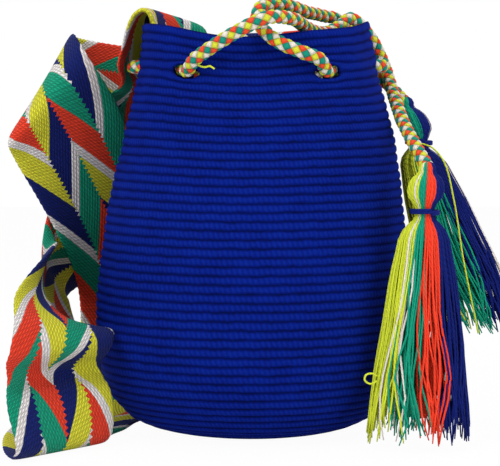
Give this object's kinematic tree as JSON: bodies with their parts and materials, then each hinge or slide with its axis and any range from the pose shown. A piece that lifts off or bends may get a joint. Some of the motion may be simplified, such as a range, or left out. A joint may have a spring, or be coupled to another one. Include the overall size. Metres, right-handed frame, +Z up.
{
  "type": "wayuu mochila bag",
  "caption": "Crocheted blue shoulder bag with a drawstring neck, yarn tassels and a wide woven chevron strap slumped beside it.",
  "frame": {"origin": "centre of the bag body's resting face", "axes": "+Z up, the bag's front to -Y, the strap to -X and the tassels to +X"},
  "size_m": [0.3707, 0.251, 0.298],
  "materials": {
    "body_yarn": "matte crocheted cotton",
    "strap_weave": "matte woven cotton in green, orange-red, white, lime and navy",
    "cord_braid": "matte round braid in orange, white, yellow and green",
    "yellow_yarn": "soft yarn",
    "green_yarn": "soft yarn",
    "orange_yarn": "soft yarn",
    "blue_yarn": "soft yarn"
  },
  "bodies": {
    "root": {"bag_body": "body_yarn", "drawstring": "cord_braid", "strap": "strap_weave", "front_tassel_yellow_yarn": "yellow_yarn", "front_tassel_green_yarn": "green_yarn", "front_tassel_orange_yarn": "orange_yarn", "front_tassel_blue_yarn": "blue_yarn", "front_tassel_tie": "blue_yarn", "rear_tassel_yellow_yarn": "yellow_yarn", "rear_tassel_green_yarn": "green_yarn", "rear_tassel_orange_yarn": "orange_yarn", "rear_tassel_blue_yarn": "blue_yarn", "rear_tassel_tie": "blue_yarn"}
  },
  "joints": []
}
